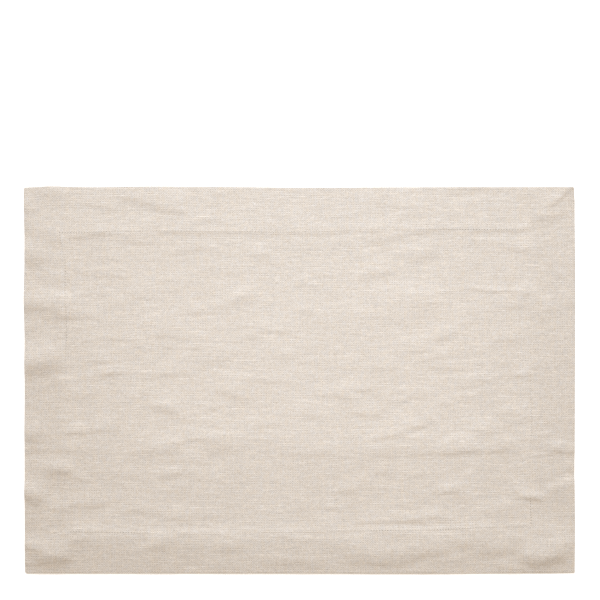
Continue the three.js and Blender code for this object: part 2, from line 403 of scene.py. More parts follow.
# %% [markdown]
# ## Thickness under the face
# Over the hem the face rides on the layers folded beneath it. Inside the stitches it comes
# down to the table, nearly half of the way within a centimetre and the rest over about four.
# The sewing also draws the cloth up, which leaves faint puckers on both sides of the line.

# %% Stack the layers
TURN_IN_RISE = 36 * MM  # the face climbs onto the third layer over this distance
# Inside the stitches the face drops part of the way, here crisply and there softly: place
# along the edge, length of this first drop.
DROP = {
    "left": from_text("-120 5, -40 8, 60 8, 120 5"),
    "right": from_text("-110 4, -60 4, -30 9, 80 9, 110 4"),
    "front": from_text("-180 7, -130 5, -90 8, -10 6, 30 9, 80 5, 120 5, 170 8"),
    "back": from_text(
        "-205 8, -180 4, -160 7, -125 6, -112 2.5, -80 2.5, -40 5, -12 4, 10 5, 50 3.5, 75 4, "
        "95 2.5, 120 2.5, 140 5, 160 3, 200 2.5"),
}
DROP_SHARE = 0.46
SAG = 38 * MM  # the rest of it takes this far to reach the table
PUCKER_LENGTH = 9 * MM
PUCKER_SEED = 21
PUCKER_SPREAD = 7 * MM
PUCKER_DEPTH = 0.25 * MM
PUCKER_EVEN = 0.4  # share of a pucker's height that doesn't ripple


def drop_length(x, y):
    """The length of the first drop, at the side that is nearest."""
    places = side_places(x, y)
    side = min(places, key=lambda name: places[name][0])
    return at_place(DROP[side], places[side][1])


def layers_under(x, y):
    """How many layers of cloth lie under the face."""
    inside = inside_fold(x, y) + SEAM_TO_FOLD  # the stitches already pull the face down
    if inside <= 0:
        return 1 + eased((inside + TURN_IN_RISE) / TURN_IN_RISE)
    first = 2 * DROP_SHARE * eased(inside / drop_length(x, y))
    return 2 - first - 2 * (1 - DROP_SHARE) * eased(inside / SAG)


def pucker_height(x, y):
    """How far the sewing draws the face up."""
    inside = inside_fold(x, y) + SEAM_TO_FOLD
    if abs(inside) > 3 * PUCKER_SPREAD:
        return 0
    ripple = noise.noise(Vector((x / PUCKER_LENGTH, y / PUCKER_LENGTH, PUCKER_SEED)))
    height = PUCKER_DEPTH * (PUCKER_EVEN + (1 - PUCKER_EVEN) * ripple)
    return height * math.exp(-((inside / PUCKER_SPREAD) ** 2) / 2)


def table_gap(x, y):
    """How far the lowest layer of cloth lies above the table."""
    return fold_height(x, y) + crinkle_height(x, y)


def face_height(x, y):
    """The upper side of the cloth on the face."""
    return table_gap(x, y) + pucker_height(x, y) + CLOTH + LAYER * layers_under(x, y)


for name, y in (("panel", 20 * MM), ("hem", 150 * MM)):
    print(name, "above the table, mm:", round(face_height(60 * MM, y) / MM, 2))

# %% [markdown]
# ## The cloth
# A grid stands for the face. Its border is then extruded round a small fold and back under
# the face, ring by ring, then round a second fold for the turned-in edge. Pulling each ring
# inside a smaller rectangle makes the mitred corners by itself: points that pile up on the
# diagonal are merged into its seam. Cutting and folding a flat pattern with a cloth
# simulation would be truer but slow, and the rings keep clean rows of faces.

# %% Lay out the face, with closer lines where the hem steps down
CELL = {"x": 4.8 * MM, "y": 1.25 * MM}  # most creases run along the mat, so rows are closer
CORNER_CELL = 2.6 * MM  # the back right corner has a sharp slanting crease at its mitre
FINE_CELL = 1.1 * MM
EDGE_BAND = 2 * MM
STITCH_BAND = 1 * MM  # closer lines start this far outside the stitches


def finer_bands(half, low_side, high_side):
    """The stretches along one axis where the grid's lines are drawn closer, and how close."""
    yield -half, EDGE_BAND - half, FINE_CELL
    yield half - EDGE_BAND, half, FINE_CELL
    for side in (low_side, high_side):
        insets = [inset for _, inset in SEAM[side]]
        near = SIGN[side] * (half - min(insets) + STITCH_BAND)
        far = SIGN[side] * (half - max(insets) - SEAM_TO_FOLD - EDGE_BAND)
        yield min(near, far), max(near, far), FINE_CELL
    yield half - HEM, half, CORNER_CELL


def line_places(half, bands, cell):
    """Places of the grid's lines, from one edge of the mat to the other."""
    bands = list(bands)
    places = [-half]
    while places[-1] < half:
        finer = [band_cell for low, high, band_cell in bands if low <= places[-1] <= high]
        places.append(places[-1] + min(finer + [cell]))
    stretch = 2 * half / (places[-1] + half)
    return [(place + half) * stretch - half for place in places]


face_half = {axis: HALF[axis] - FOLD_RADIUS for axis in HALF}
columns = line_places(face_half["x"], finer_bands(face_half["x"], "left", "right"), CELL["x"])
rows = line_places(face_half["y"], finer_bands(face_half["y"], "front", "back"), CELL["y"])
cloth = bmesh.new()
bmesh.ops.create_grid(cloth, x_segments=len(columns) - 1, y_segments=len(rows) - 1, size=0.5)
for vert in cloth.verts:
    vert.co.x = columns[round((vert.co.x + 0.5) * (len(columns) - 1))]
    vert.co.y = rows[round((vert.co.y + 0.5) * (len(rows) - 1))]
print("lines along and across:", len(rows), len(columns))
past_edge = cloth.verts.layers.float.new("past_edge")  # distance past the mat's edge
stacked = cloth.verts.layers.float.new("stacked")  # height in the folded hem, 0 to 1
print("face:", len(cloth.faces), "faces")


# %% Turn the hem under, ring by ring
WELD = 0.01 * MM  # points nearer than this are one
EDGE_RINGS = 4  # round the mat's edge
FLAP_RINGS = 5  # from there to the hem's inner fold
FOLD_RINGS = 3  # round that fold
RAW_EDGE_RINGS = 2  # from there to the raw edge


def pull_in(value, half, was_inset, inset):
    """Moves a coordinate on the old ring's side, or outside the new one, to the new ring."""
    if abs(value) >= half - was_inset - WELD or abs(value) > half - inset:
        return math.copysign(half - inset, value)
    return value


def hem_rings():
    """Inset from the edge, height in layers and distance past the edge of each ring."""
    half_turn = math.pi * FOLD_RADIUS
    for step in range(1, EDGE_RINGS + 1):
        turn = math.pi * step / EDGE_RINGS
        inset = FOLD_RADIUS * (1 - math.sin(turn))
        yield inset, (1 + math.cos(turn)) / 2, FOLD_RADIUS * turn
    for step in range(1, FLAP_RINGS + 1):
        inset = HEM_FOLD * step / FLAP_RINGS
        yield inset, 0, half_turn + inset
    for step in range(1, FOLD_RINGS + 1):
        turn = math.pi * step / FOLD_RINGS
        inset = HEM_FOLD + FOLD_RADIUS * math.sin(turn)
        yield inset, (1 - math.cos(turn)) / 2, half_turn + HEM_FOLD + FOLD_RADIUS * turn
    for step in range(1, RAW_EDGE_RINGS + 1):
        inset = TURN_IN * step / RAW_EDGE_RINGS
        yield HEM_FOLD - inset, 1, 2 * half_turn + HEM_FOLD + inset


was_inset = FOLD_RADIUS
for inset, height, past in hem_rings():
    border = [edge for edge in cloth.edges if edge.is_boundary]
    made = bmesh.ops.extrude_edge_only(cloth, edges=border)["geom"]
    ring = [item for item in made if isinstance(item, bmesh.types.BMVert)]
    for vert in ring:
        vert.co.x = pull_in(vert.co.x, HALF["x"], was_inset, inset)
        vert.co.y = pull_in(vert.co.y, HALF["y"], was_inset, inset)
        vert[past_edge] = past
        vert[stacked] = height
    bmesh.ops.remove_doubles(cloth, verts=ring, dist=WELD)
    was_inset = inset
print("with its hem:", len(cloth.faces), "faces")


# %% [markdown]
# The rings are still those of an even hem. The flap is now pushed sideways until its inner
# fold runs a constant distance inside the uneven stitch line. Only the flap moves, and the
# push fades out towards the mat's edge and towards the middle, so no face is turned over.

# %% Let the flap follow the seam
def push_share(inset):
    """How much of the seam's unevenness reaches a point this far in from the edge."""
    if inset < HEM_FOLD:
        return inset / HEM_FOLD
    return 1 - eased((inset - HEM_FOLD) / (2 * HEM_FOLD))


def followed(x, y):
    """Where a point of the even flap lies once the flap follows the seam."""
    moved = {}
    for side, (inset, along) in side_places(x, y).items():
        moved[side] = (at_place(SEAM[side], along) - HEM) * push_share(max(inset, 0))
    return x + moved["left"] - moved["right"], y + moved["front"] - moved["back"]


for vert in cloth.verts:
    if vert[past_edge] > math.pi * FOLD_RADIUS:
        vert.co.x, vert.co.y = followed(vert.co.x, vert.co.y)
print("deepest point of the flap, mm:", round((HEM_FOLD + FOLD_RADIUS) / MM, 1))

# %% [markdown]
# ## Maps on the cloth
# Two UV maps tell the material where it is. The first is the flat cut, in metres, so that
# the weave runs on round the folded edge as it does in one piece of linen. The second
# unrolls the stitch line: stitches along it, and metres across it. Object coordinates would
# be simpler, but they'd cut through the layers of the hem instead of following the cloth.

# %% Find the four runs of the stitch line
STITCH = 2.5 * MM  # from one needle hole to the next


def seam_corner(side_x, side_y):
    """Where two runs of stitches meet, found by going back and forth between them."""
    x = y = 0
    for _ in range(8):  # a few rounds settle it
        x = SIGN[side_x] * (HALF["x"] - at_place(SEAM[side_x], y))
        y = SIGN[side_y] * (HALF["y"] - at_place(SEAM[side_y], x))
    return x, y


RUN_ENDS = {
    side: (seam_corner(side, "front")[1], seam_corner(side, "back")[1])
    if side in ("left", "right")
    else (seam_corner("left", side)[0], seam_corner("right", side)[0])
    for side in SEAM
}
RUN_STITCHES = {side: round((end - start) / STITCH) for side, (start, end) in RUN_ENDS.items()}
print("stitches in each run:", RUN_STITCHES)


# %% Unroll the cut and the seam
def stitch_place(side, x, y):
    """Place along a run, counted in stitches, and distance inside it, in metres."""
    inset, along = side_places(x, y)[side]
    start, end = RUN_ENDS[side]
    return (
        RUN_STITCHES[side] * (along - start) / (end - start),
        inset - at_place(SEAM[side], along),
    )


def nearest_side(point):
    """The side whose run of stitches is nearest."""
    distances = {
        side: inset - at_place(SEAM[side], along)
        for side, (inset, along) in side_places(point.x, point.y).items()
    }
    return min(distances, key=distances.get)


def cut_place(side, x, y, past):
    """Place on the flat cut of a point that lies past the finished edge."""
    if past == 0:
        return x, y
    if side in ("left", "right"):
        return SIGN[side] * (HALF["x"] + past), y
    return x, SIGN[side] * (HALF["y"] + past)


cut_map = cloth.loops.layers.uv.new("cloth")
seam_map = cloth.loops.layers.uv.new("seam")
for face in cloth.faces:
    middle = face.calc_center_median()
    turned_under = max(vert[past_edge] for vert in face.verts) > 0
    seam_side = nearest_side(middle)
    edge_side = min(side_places(middle.x, middle.y).items(), key=lambda item: item[1][0])[0]
    for loop in face.loops:
        x, y = loop.vert.co.xy
        past = loop.vert[past_edge] if turned_under else 0
        loop[cut_map].uv = cut_place(edge_side, x, y, past)
        loop[seam_map].uv = stitch_place(seam_side, x, y)
print("finished edge to raw edge, mm:", round(max(vert[past_edge] for vert in cloth.verts) / MM, 1))

# %% Say how far the needle holes gape, which sets how dark their painted shade is, 0 to 1, at places in mm
GAPING = {  # (place along the edge, how far they gape)
    "left": [(-20, .15), (20, .3), (40, .9), (60, .6), (97, .9), (105, .4), (118, .5), (134, 1)],
    "right": [(-134, 1), (-107, .9), (-100, .1), (-54, .1), (-50, .7), (-20, .4), (1, .6), (8, .2)],
    "front": [(-206, .9), (-180, .6), (-150, .9), (-125, .2), (60, .2), (68, .8), (110, .5),
              (140, .9), (166, .7), (176, .2)],
    "back": [(-213, .8), (-160, .5), (-104, .7), (-95, .2), (-30, .4), (60, .3), (140, .5),
             (151, .9)],
}
gaping = cloth.verts.layers.float.new("gaping")
for vert in cloth.verts:
    seam_side = nearest_side(vert.co)
    _, along = side_places(vert.co.x, vert.co.y)[seam_side]
    vert[gaping] = at_place(GAPING[seam_side], along / MM)
print("widest gape:", round(max(vert[gaping] for vert in cloth.verts), 2))


# %% Lift every point to its place and let the edges stray
STRAYS = {  # place along the edge, how far the edge strays outwards
    "left": from_text("-160 -.6, -40 -.2, 25 -.3, 80 .5, 118 -.2, 160 .5"),
    "right": from_text("-155 -.2, -128 .1, -85 -.5, -30 0, 95 .3, 161 -.3, 172 -.9"),
    "front": from_text("0 0, 100 .3, 225 -.3, 245 -.6"),
    "back": from_text("-248 -.4, -226 .7, -188 -.1, -133 .6, 8 -.4, 180 .1"),
}
CORNER_RADII = {  # by the signs of x and y
    (-1, -1): 2.6 * MM, (1, -1): 1.0 * MM, (-1, 1): 1.2 * MM, (1, 1): 1.6 * MM,
}


def blunted(x, y):
    """Draws a point near a corner in, so that the corner is a little round."""
    signs = (math.copysign(1, x), math.copysign(1, y))
    radius = CORNER_RADII[signs]
    near_x = min(max(0, 1 - (HALF["x"] - abs(x)) / radius), 1)
    near_y = min(max(0, 1 - (HALF["y"] - abs(y)) / radius), 1)
    pull_x = radius * near_x * (1 - math.sqrt(1 - near_y**2 / 2))
    pull_y = radius * near_y * (1 - math.sqrt(1 - near_x**2 / 2))
    return x - signs[0] * pull_x, y - signs[1] * pull_y


def strayed(x, y):
    """Carries a point of the true rectangle to where the uneven mat has it."""
    x, y = blunted(x, y)
    share_x = x / LENGTH + 0.5
    share_y = y / WIDTH + 0.5
    return (
        x - at_place(STRAYS["left"], y) * (1 - share_x) + at_place(STRAYS["right"], y) * share_x,
        y - at_place(STRAYS["front"], x) * (1 - share_y) + at_place(STRAYS["back"], x) * share_y,
    )


MITRE_GROOVE = 0.15 * MM  # the flap is drawn up along its mitred seams
MITRE_WIDTH = 1 * MM
for vert in cloth.verts:
    x, y, _ = vert.co
    if vert[past_edge] > 0:
        vert.co.z = table_gap(x, y) + vert[stacked] * (LAYER + CLOTH)
        insets = [inset for inset, _ in side_places(x, y).values()]
        near, second = sorted(insets)[:2]
        if vert[stacked] == 0 and abs(near - second) < MITRE_WIDTH:
            vert.co.z += MITRE_GROOVE
    else:
        vert.co.z = face_height(x, y)
    vert.co.x, vert.co.y = strayed(x, y)
print("highest point, mm:", round(max(vert.co.z for vert in cloth.verts) / MM, 1))

# %% [markdown]
# ## Give it a thickness
# The sheet so far is the side of the cloth that shows. Solidify adds the other side and
# closes the raw edge. It is done as an operator, not as a modifier, because the two sides
# then keep maps of their own.

# %% Thicken the sheet
bmesh.ops.recalc_face_normals(cloth, faces=cloth.faces)
upper_side = [face for face in cloth.faces if face.verts[0][past_edge] == 0]
if sum(face.normal.z * face.calc_area() for face in upper_side) < 0:
    bmesh.ops.reverse_faces(cloth, faces=cloth.faces)
outer_count = len(cloth.faces)
sheet_area = sum(face.calc_area() for face in cloth.faces)
bmesh.ops.solidify(cloth, geom=cloth.faces, thickness=CLOTH)
open_edges = sum(edge.is_boundary for edge in cloth.edges)
print("faces of one side and of both:", outer_count, len(cloth.faces), "open edges:", open_edges)
print("sheet, m2:", round(sheet_area, 4), "volume, cm3:", round(cloth.calc_volume() * 1e6, 1))


# %% Make it a piece
def add_piece(name, shape):
    """Turns a finished shape into an object, shaded smoothly, at the origin."""
    for face in shape.faces:
        face.smooth = True
    mesh = bpy.data.meshes.new(name)
    shape.to_mesh(mesh)
    shape.free()
    piece = bpy.data.objects.new(name, mesh)
    bpy.context.collection.objects.link(piece)
    return piece


low = [min(vert.co[axis] for vert in cloth.verts) for axis in range(3)]
high = [max(vert.co[axis] for vert in cloth.verts) for axis in range(3)]
node_middle = (solid_low + solid_high) / 2
centred = Vector((node_middle.x - (low[0] + high[0]) / 2,
                  node_middle.y - (low[1] + high[1]) / 2, -low[2]))
bmesh.ops.translate(cloth, verts=cloth.verts, vec=centred)
surface = BVHTree.FromBMesh(cloth)
placemat = add_piece("linen_placemat", cloth)
print("moved to the middle by, mm:", [round(step / MM, 2) for step in centred])
print("mat, mm:", [round((high[axis] - low[axis]) / MM, 1) for axis in range(3)])

# %% [markdown]
# ## Stitches
# A machine sews the hem with a thread about a third of a millimetre thick. Each stitch shows
# as a short rounded dash that dives into a needle hole at either end. One stitch is shaped
# from a small sphere, and copies of it are laid from hole to hole, on the face and on the
# underside. A curve with a bevel would do for the thread, but not its dips into the cloth.

# %% Lay the stitches from hole to hole
THREAD = 0.36 * MM
THREAD_ABOVE = 0.05 * MM  # how far its middle lies above the cloth's surface
STITCH_SHOWS = 0.96  # share of the step that the stitch fills
STITCH_SLANT = 0.08 * MM  # a lockstitch leans a little across its line
SLANTS = (0.5, 1.5)  # least and most of it that a stitch gets
STITCH_DIVE = 1.2  # how deep its ends dive, in thicknesses of thread
THREAD_UNEVEN = 0.08  # the thread is this share thicker here and thinner there
CLEAR_OF_CLOTH = 100 * MM
dice = random.Random(5)

one_stitch = bmesh.new()
bmesh.ops.create_uvsphere(one_stitch, u_segments=6, v_segments=7, radius=0.5)
lengthwise = Matrix.Rotation(math.pi / 2, 3, "Y")
bmesh.ops.rotate(one_stitch, verts=one_stitch.verts, matrix=lengthwise)
for vert in one_stitch.verts:
    vert.co.z -= STITCH_DIVE * abs(2 * vert.co.x) ** 4
stitches = bmesh.new()
laid_mesh = bpy.data.meshes.new("laid_stitch")


def on_cloth(x, y, up):
    """The point of the cloth's surface above or below a place on the even mat."""
    x, y = strayed(x, y)
    start = Vector((x + centred.x, y + centred.y, up * CLEAR_OF_CLOTH))
    return surface.ray_cast(start, Vector((0, 0, -up)))[0]


def seam_point(side, share):
    """Where a run of stitches is, at a share of its length."""
    start, end = RUN_ENDS[side]
    along = start + (end - start) * share
    inset = at_place(SEAM[side], along)
    if side in ("left", "right"):
        return SIGN[side] * (HALF["x"] - inset), along
    return along, SIGN[side] * (HALF["y"] - inset)


def lay_stitch(first, second, up):
    """Stretches a copy of the first stitch between two holes."""
    length = (second - first).length * STITCH_SHOWS
    along = (second - first).normalized()
    across = Vector((0, 0, up)).cross(along).normalized()
    above = along.cross(across)
    middle = (first + second) / 2 + above * THREAD_ABOVE
    width = THREAD * dice.uniform(1 - THREAD_UNEVEN, 1 + THREAD_UNEVEN)
    along_axis = along * length + across * dice.uniform(*SLANTS) * STITCH_SLANT
    place = Matrix((along_axis, across * width, above * width)).transposed().to_4x4()
    laid = one_stitch.copy()
    bmesh.ops.transform(laid, matrix=Matrix.Translation(middle) @ place, verts=laid.verts)
    laid.to_mesh(laid_mesh)
    laid.free()
    stitches.from_mesh(laid_mesh)


for up in (1, -1):  # the face, then the underside
    for side, count in RUN_STITCHES.items():
        holes = [on_cloth(*seam_point(side, step / count), up) for step in range(count + 1)]
        for first, second in zip(holes, holes[1:]):
            lay_stitch(first, second, up)
bpy.data.meshes.remove(laid_mesh)
bmesh.ops.recalc_face_normals(stitches, faces=stitches.faces)
print("stitches:", 2 * sum(RUN_STITCHES.values()), "faces:", len(stitches.faces))
hem_stitches = add_piece("hem_stitches", stitches)

# %% [markdown]
# ## Linen
# Undyed linen, half bleached: a plain weave of flax yarns that are never quite even. The eye
# reads it from thick light slubs that run along single yarns, from small warm and cool
# differences between yarns, and from a dry, matt surface with hardly any sheen. An image
# would fix the weave at one size, so it is worked out from the yarns' spacing instead.

# %% Three helpers for materials
def from_hex(colour):
    """Turns an sRGB hex colour into the linear values that Blender works in."""
    parts = [int(colour[place:place + 2], 16) / 255 for place in (1, 3, 5)]
    return tuple(
        part / 12.92 if part <= 0.04045 else ((part + 0.055) / 1.055) ** 2.4 for part in parts
    ) + (1,)


def add_node(tree, kind, inputs=None, **settings):
    """Adds a node; an input is a value, or a node or socket that it is linked to."""
    made = tree.nodes.new("ShaderNode" + kind)
    for name, value in settings.items():
        setattr(made, name, value)
    for name, value in (inputs or {}).items():
        if isinstance(value, bpy.types.Node):
            value = value.outputs[0]
        if isinstance(value, bpy.types.NodeSocket):
            tree.links.new(value, made.inputs[name])
        else:
            made.inputs[name].default_value = value
    return made


def new_material(name, **sockets):
    """A material with one Principled shader, whose constant values are on its sockets."""
    material = bpy.data.materials.new(name)
    material.use_nodes = True
    tree = material.node_tree
    tree.nodes.clear()
    shader = add_node(tree, "BsdfPrincipled")
    for socket, value in sockets.items():
        shader.inputs[socket.replace("_", " ")].default_value = value
    add_node(tree, "OutputMaterial", {"Surface": shader})
    return material, tree, shader


# %% Start the linen
# Linen is matt, so it hardly gleams, and its fuzz gives the edges a faint sheen.
linen, tree, shader = new_material(
    "linen_half_bleached", Roughness=0.88, Sheen_Weight=0.12, Sheen_Roughness=0.5,
    Specular_IOR_Level=0.25)

# %% Number the yarns and find the place in each crossing
# Real yarns lie about 0.7 mm apart. They are drawn coarser, because a weave much finer than
# the picture's grain averages away to a flat tone.
WARP_PITCH = 1.10 * MM  # the yarns that run across the mat
WEFT_PITCH = 1.05 * MM  # the ones that run along it
YARN_WANDER = 2.2 * MM  # yarns are bent this far over WANDER_SIZE
WANDER_SIZE = 60 * MM
cut = add_node(tree, "UVMap", uv_map="cloth")
wander = add_node(
    tree, "TexNoise", {"Vector": cut, "Scale": 1 / WANDER_SIZE, "Detail": 1.0},
    noise_dimensions="2D")
centre = add_node(
    tree, "VectorMath", {0: wander.outputs["Color"], 1: (0.5, 0.5, 0)}, operation="SUBTRACT")
bent = add_node(
    tree, "VectorMath", {0: centre, 1: (YARN_WANDER,) * 3, 2: cut}, operation="MULTIPLY_ADD")
yarns = add_node(
    tree, "VectorMath", {0: bent, 1: (1 / WARP_PITCH, 1 / WEFT_PITCH, 0)}, operation="MULTIPLY")
crossing = add_node(tree, "VectorMath", {0: yarns}, operation="FLOOR")
inside = add_node(tree, "VectorMath", {0: yarns}, operation="FRACTION")
numbers = add_node(tree, "SeparateXYZ", {0: crossing})
warp_number, weft_number = numbers.outputs[:2]
parts = add_node(tree, "SeparateXYZ", {0: inside})
counted = add_node(tree, "Math", {0: warp_number, 1: weft_number}, operation="ADD")
weft_on_top = add_node(tree, "Math", {0: counted, 1: 2.0}, operation="FLOORED_MODULO")
print("yarns along and across:", round(WIDTH / WEFT_PITCH), round(LENGTH / WARP_PITCH))


# %% Round the yarns and lay the upper one over the lower
def roundness(part):
    """0 at a yarn's edges and 1 along its middle."""
    off = add_node(tree, "Math", {0: part, 1: 0.5}, operation="SUBTRACT")
    square = add_node(tree, "Math", {0: off, 1: off}, operation="MULTIPLY")
    return add_node(tree, "Math", {0: square, 1: -4.0, 2: 1.0}, operation="MULTIPLY_ADD")


warp_round = roundness(parts.outputs["X"])
weft_round = roundness(parts.outputs["Y"])
across = add_node(tree, "Mix", {0: weft_on_top, 2: warp_round, 3: weft_round})
along = add_node(tree, "Mix", {0: weft_on_top, 2: weft_round, 3: warp_round})
arch = add_node(tree, "Math", {0: along, 1: 0.5, 2: 0.5}, operation="MULTIPLY_ADD")
crown = add_node(tree, "Math", {0: across, 1: arch}, operation="MULTIPLY")


# %% Give each yarn slubs and a tone of its own
SLUB_LENGTH = 15 * MM
WARP_SLUB_LENGTH = 24 * MM
ROW_STEP = 7.31  # yarns read their noise this far apart, so that neighbours are unlike
FIBRE = 0.45 * MM  # bundles of fibre, lighter and darker, within a yarn


def yarn_tone(number, place, length, seed):
    """Noise that changes slowly along a yarn and is unlike its neighbour's."""
    row = add_node(tree, "Math", {0: number, 1: ROW_STEP}, operation="MULTIPLY")
    far = add_node(tree, "Math", {0: place, 1: 1 / length}, operation="MULTIPLY")
    spot = add_node(tree, "CombineXYZ", {0: far, 1: row, 2: seed})
    return add_node(
        tree, "TexNoise", {"Vector": spot, "Scale": 1.0, "Detail": 3.0, "Roughness": 0.7})


cut_x, cut_y, _ = add_node(tree, "SeparateXYZ", {0: cut}).outputs
weft_tone = yarn_tone(weft_number, cut_x, SLUB_LENGTH, seed=1.5)
warp_tone = yarn_tone(warp_number, cut_y, WARP_SLUB_LENGTH, seed=9.5)
fibres = add_node(tree, "VectorMath", {0: cut, 1: (FIBRE,) * 3}, operation="SNAP")
speckle = add_node(tree, "TexWhiteNoise", {"Vector": fibres}, noise_dimensions="2D")

# %% Add the tones up
WEFT_OVER_TONE = 0.19  # a weft yarn on top catches more light than a warp yarn, as a share
WEFT_PAIR_PAINTED_SHADE = 0.14  # painted shade for yarns that lie in pairs, the second a little under the first
WARP_PAIR_PAINTED_SHADE = 0.06
PAIR_PATCH = 9 * MM  # the pairs show here and fade there
PAIRS_SHOW = {"From Min": 0.32, "From Max": 0.66}  # they come up between these values of a noise
SLUB_TONE = 0.08  # the thickest slubs shine out
THICKEST = {"From Min": 0.60, "From Max": 0.70}  # their shine sets in between these values
WEFT_TONE = 0.36  # how far the tone of single yarns differs
WARP_TONE = 0.09
FIBRE_TONE = 0.34
GAP_TONE = 0.94  # tone of the shaded gaps between yarns


def tone(fac, strength, onto):
    """Adds a 0 to 1 noise to a tone, centred, so that the average stays as it is."""
    shifted = add_node(tree, "Math", {0: fac, 1: 0.5}, operation="SUBTRACT")
    return add_node(tree, "Math", {0: shifted, 1: strength, 2: onto}, operation="MULTIPLY_ADD")


def paired(number, seed):
    """0 and 1 for the two yarns of a pair, or nearer to a half where pairs don't show."""
    second = add_node(tree, "Math", {0: number, 1: 2.0}, operation="FLOORED_MODULO")
    where = add_node(tree, "VectorMath", {0: cut, 1: (seed,) * 3}, operation="ADD")
    patch = add_node(tree, "TexNoise", {"Vector": where, "Scale": 1 / PAIR_PATCH})
    shows = add_node(tree, "MapRange", {"Value": patch, **PAIRS_SHOW})
    return add_node(tree, "Mix", {0: shows, 2: 0.5, 3: second})


shaded = add_node(
    tree, "MapRange", {"Value": crown, "To Min": GAP_TONE, "To Max": 1.0 + (1 - GAP_TONE) / 2})
toned = tone(weft_on_top, WEFT_OVER_TONE, shaded)
# Painted shade: one yarn of each pair is painted a little darker than the other.
toned = tone(paired(weft_number, seed=31.5), WEFT_PAIR_PAINTED_SHADE, toned)
toned = tone(paired(warp_number, seed=43.5), WARP_PAIR_PAINTED_SHADE, toned)
slub = add_node(tree, "MapRange", {"Value": weft_tone, **THICKEST})
toned = add_node(tree, "Math", {0: slub, 1: SLUB_TONE, 2: toned}, operation="MULTIPLY_ADD")
toned = tone(weft_tone, WEFT_TONE, toned)
toned = tone(warp_tone, WARP_TONE, toned)
toned = tone(speckle, FIBRE_TONE, toned)

# %% Paint shade on the outer edge and light on the middle
EDGE_PAINTED_SHADE = -0.02  # painted shade: the hem is painted a shade deeper towards the outer edge
EDGE_SHADE_FROM = -1 * MM  # where the painted shade sets in, outside the stitches, and where it is complete
EDGE_SHADE_FULL = -10 * MM
MIDDLE_PAINTED_LIGHT = 0.025  # painted light: the middle is painted a little lighter
MIDDLE_LIGHT_REACH = 110 * MM
seam = add_node(tree, "UVMap", uv_map="seam")
seam_along, seam_across, _ = add_node(tree, "SeparateXYZ", {0: seam}).outputs
edge_shade_mask = add_node(
    tree, "MapRange",
    {"Value": seam_across, "From Min": EDGE_SHADE_FULL, "From Max": EDGE_SHADE_FROM, "To Min": 1.0,
     "To Max": 0.0}, interpolation_type="SMOOTHSTEP")
# Painted shade, deepening outside the stitches towards the outer edge.
toned = add_node(tree, "Math", {0: edge_shade_mask, 1: EDGE_PAINTED_SHADE, 2: toned}, operation="MULTIPLY_ADD")
middle_light_mask = add_node(
    tree, "MapRange", {"Value": seam_across, "From Min": 0.0, "From Max": MIDDLE_LIGHT_REACH},
    interpolation_type="SMOOTHSTEP")
# Painted light, lighter further in from the stitches towards the middle.
toned = add_node(tree, "Math", {0: middle_light_mask, 1: MIDDLE_PAINTED_LIGHT, 2: toned}, operation="MULTIPLY_ADD")

# %% Colour the yarns
LINEN_DARK = from_hex("#c7beb3")  # warm, DARK_TONE times the linen's middle tone
LINEN_LIGHT = from_hex("#f5ede3")  # cooler, LIGHT_TONE times it
DARK_TONE = 0.75
LIGHT_TONE = 1.25
TINT_WARM = from_hex("#fff9f1")
TINT_COOL = from_hex("#f6f9ff")
HUE_SPREAD = 0.9  # how far single yarns and fibres stray between the two tints
HUE_LENGTH = 72 * MM
HUE_PATCH = 4.5 * MM
hue_mottle = add_node(tree, "TexNoise", {"Vector": cut, "Scale": 1 / HUE_PATCH, "Detail": 2.5})
warp_hue = yarn_tone(warp_number, cut_y, HUE_LENGTH, seed=17.5)
hue = tone(warp_hue, HUE_SPREAD, tone(speckle.outputs["Color"], HUE_SPREAD, hue_mottle))
darkness = add_node(
    tree, "MapRange", {"Value": toned, "From Min": DARK_TONE, "From Max": LIGHT_TONE},
    clamp=False)
dyed = add_node(
    tree, "Mix", {0: darkness, 6: LINEN_DARK, 7: LINEN_LIGHT}, data_type="RGBA",
    clamp_factor=False)
tint = add_node(tree, "Mix", {0: hue, 6: TINT_WARM, 7: TINT_COOL}, data_type="RGBA")
coloured = add_node(
    tree, "VectorMath", {0: dyed.outputs[2], 1: tint.outputs[2]}, operation="MULTIPLY")

# %% [markdown]
# The needle leaves a small hole at each end of a stitch, and the taut thread presses a
# shallow groove along its line. Both are finer than the mesh, so they are drawn through the
# seam's own map: a dot of painted shade at every whole stitch, where the hole would lie in
# shadow, and a dip across the line. Crinkle only a few millimetres wide is drawn as bump too,
# because the mesh would need several times as many faces to hold it. It bends and bows as the
# larger crinkle in the mesh does.

# %% Paint shade into the needle holes and draw the groove
HOLE_RADIUS = 0.48 * MM
HOLE_SHADE_TONE = 0.32  # tone of the painted shade in a hole that gapes fully
GROOVE_WIDTH = 0.9 * MM
GROOVE_DEPTH = 0.03 * MM
half_step = add_node(tree, "Math", {0: seam_along, 1: 0.5}, operation="ADD")
step_part = add_node(tree, "Math", {0: half_step}, operation="FRACT")
from_hole = add_node(tree, "Math", {0: step_part, 1: 0.5}, operation="SUBTRACT")
hole_along = add_node(tree, "Math", {0: from_hole, 1: STITCH}, operation="MULTIPLY")
hole_spot = add_node(tree, "CombineXYZ", {0: hole_along, 1: seam_across})
hole_distance = add_node(tree, "VectorMath", {0: hole_spot}, operation="LENGTH")
hole_shade_mask = add_node(
    tree, "MapRange",
    {"Value": hole_distance.outputs["Value"], "From Min": HOLE_RADIUS / 2,
     "From Max": HOLE_RADIUS, "To Min": 1.0, "To Max": 0.0})
gape = add_node(tree, "Attribute", attribute_name="gaping").outputs["Fac"]
hole_shade_mask = add_node(tree, "Math", {0: hole_shade_mask, 1: gape}, operation="MULTIPLY")
seam_off = add_node(tree, "Math", {0: seam_across}, operation="ABSOLUTE")
